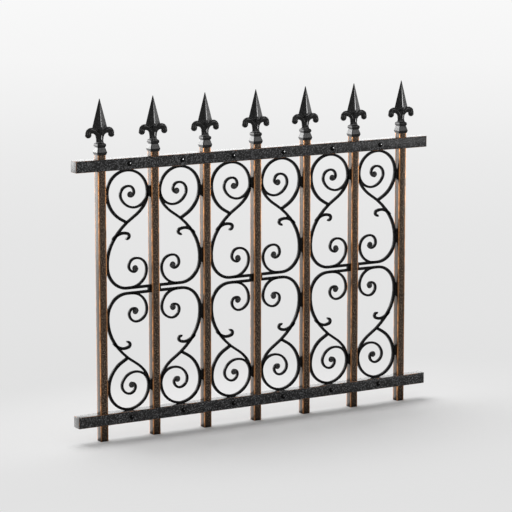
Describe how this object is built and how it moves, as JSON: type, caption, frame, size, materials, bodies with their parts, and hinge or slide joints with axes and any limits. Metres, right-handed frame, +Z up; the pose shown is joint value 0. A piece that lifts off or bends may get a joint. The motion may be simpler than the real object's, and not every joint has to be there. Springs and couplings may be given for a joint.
{
  "type": "iron railing panel",
  "caption": "Straight iron railing panel with square pickets through two rails, fleur-de-lis finials, and mirrored scrollwork filling each bay.",
  "frame": {"origin": "centre of the flat underside of the middle picket's foot, at ground level", "axes": "+Z up along the pickets, +X along the rails to the right as seen from the front, +Y towards the back"},
  "size_m": [0.894, 0.0306, 0.742],
  "materials": {
    "picket_iron": "satin",
    "rail_iron": "hammered satin",
    "scroll_iron": "hammered satin",
    "finial_iron": "satin",
    "rivet_iron": "satin"
  },
  "bodies": {
    "root": {"picket_1": "picket_iron", "picket_2": "picket_iron", "picket_3": "picket_iron", "picket_4": "picket_iron", "picket_5": "picket_iron", "picket_6": "picket_iron", "picket_7": "picket_iron", "finial_1": "finial_iron", "finial_2": "finial_iron", "finial_3": "finial_iron", "finial_4": "finial_iron", "finial_5": "finial_iron", "finial_6": "finial_iron", "finial_7": "finial_iron", "scroll_upper_1": "scroll_iron", "scroll_upper_2": "scroll_iron", "scroll_upper_3": "scroll_iron", "scroll_upper_4": "scroll_iron", "scroll_upper_5": "scroll_iron", "scroll_upper_6": "scroll_iron", "scroll_lower_1": "scroll_iron", "scroll_lower_2": "scroll_iron", "scroll_lower_3": "scroll_iron", "scroll_lower_4": "scroll_iron", "scroll_lower_5": "scroll_iron", "scroll_lower_6": "scroll_iron", "tie_1": "scroll_iron", "tie_2": "scroll_iron", "tie_3": "scroll_iron", "tie_4": "scroll_iron", "tie_5": "scroll_iron", "tie_6": "scroll_iron", "bottom_rail": "rail_iron", "bottom_rail_rivets": "rivet_iron", "top_rail": "rail_iron", "top_rail_rivets": "rivet_iron"}
  },
  "joints": []
}
